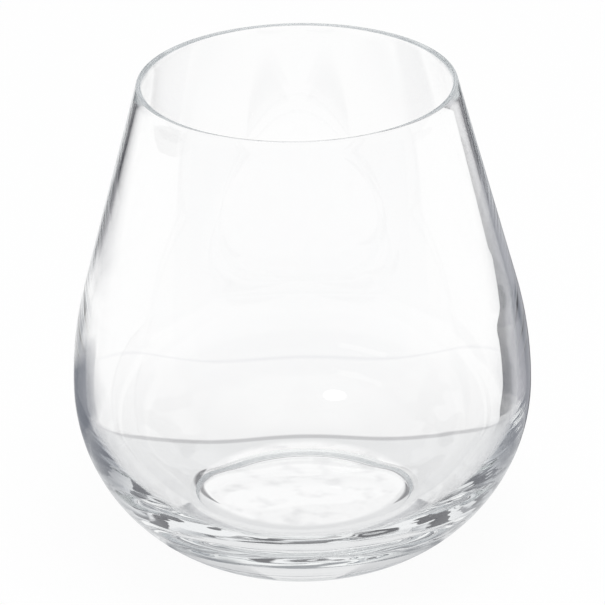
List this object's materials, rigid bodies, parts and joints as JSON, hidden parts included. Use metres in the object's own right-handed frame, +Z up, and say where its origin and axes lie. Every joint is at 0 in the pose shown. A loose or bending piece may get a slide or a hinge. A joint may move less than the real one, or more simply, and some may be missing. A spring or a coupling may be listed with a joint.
{
  "type": "water glass",
  "caption": "Stemless clear glass tumbler with a round belly, a tapering thin wall, a rounded rim and a shallow punt inside its flat standing ring, for holding and drinking water.",
  "frame": {"origin": "middle of the foot, on the plane of the table", "axes": "+Z points up through the mouth along the axis of revolution, and the side in the picture faces -Y"},
  "size_m": [0.092, 0.092, 0.097],
  "materials": {
    "glass": "clear and fire-polished"
  },
  "bodies": {
    "root": {"glass": "glass"}
  },
  "joints": []
}
